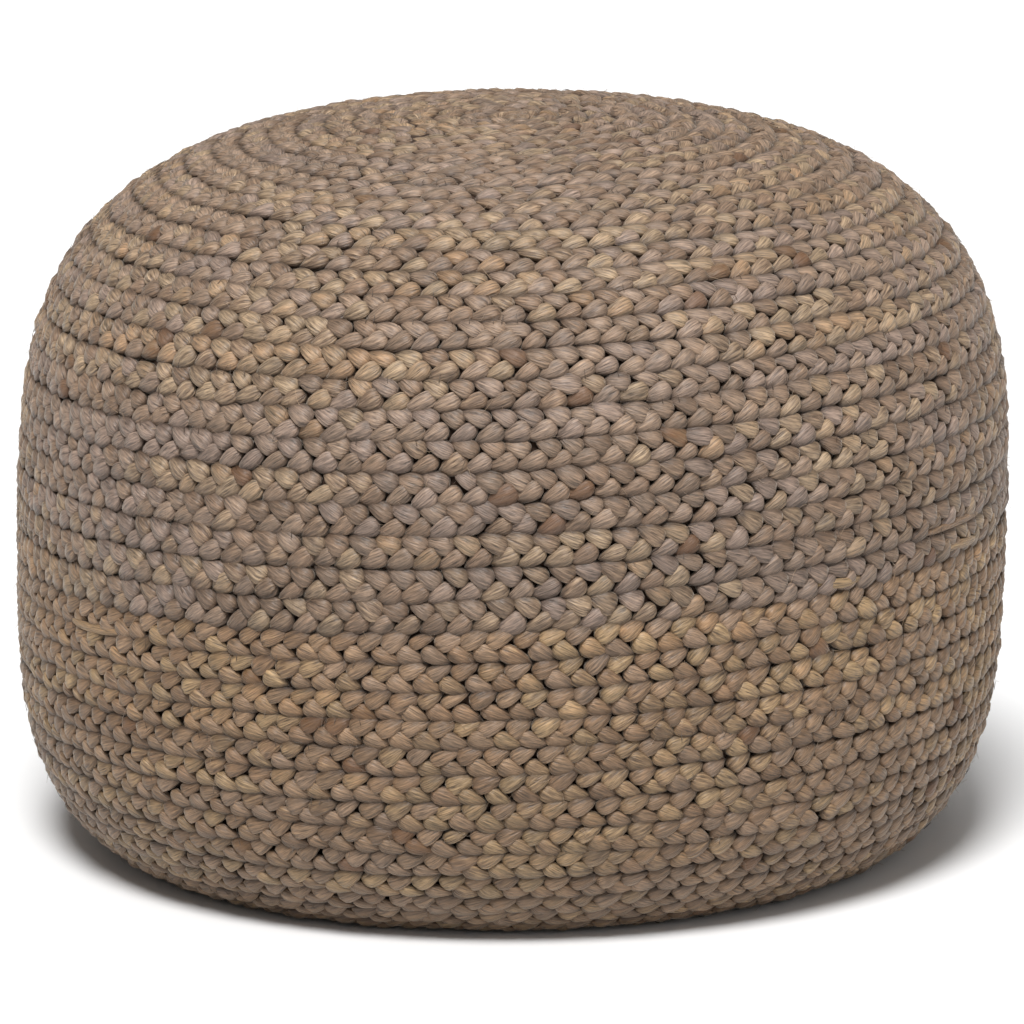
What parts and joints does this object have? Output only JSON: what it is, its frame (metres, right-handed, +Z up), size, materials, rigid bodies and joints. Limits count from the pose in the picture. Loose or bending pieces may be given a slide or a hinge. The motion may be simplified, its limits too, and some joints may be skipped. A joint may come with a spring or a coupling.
{
  "type": "jute pouf",
  "caption": "Round filled floor pouf with a cover of coiled jute plait, an upper dome and a lower bowl sewn together; a soft seat or footrest.",
  "frame": {"origin": "on the floor, under the middle of the pouf's outer box", "axes": "+Z up through the crown; -Y towards the front, where the join between the halves rises from left to right"},
  "size_m": [0.4816, 0.4792, 0.355],
  "materials": {
    "lower_jute_plait": "plaited jute, warm brown with tan and straw strands, satin on the heads of the plait and matt between",
    "upper_jute_plait": "plaited jute, grey taupe with lilac grey and straw strands, satin on the heads of the plait and matt between"
  },
  "bodies": {
    "root": {"lower_half": "lower_jute_plait", "upper_half": "upper_jute_plait"}
  },
  "joints": []
}
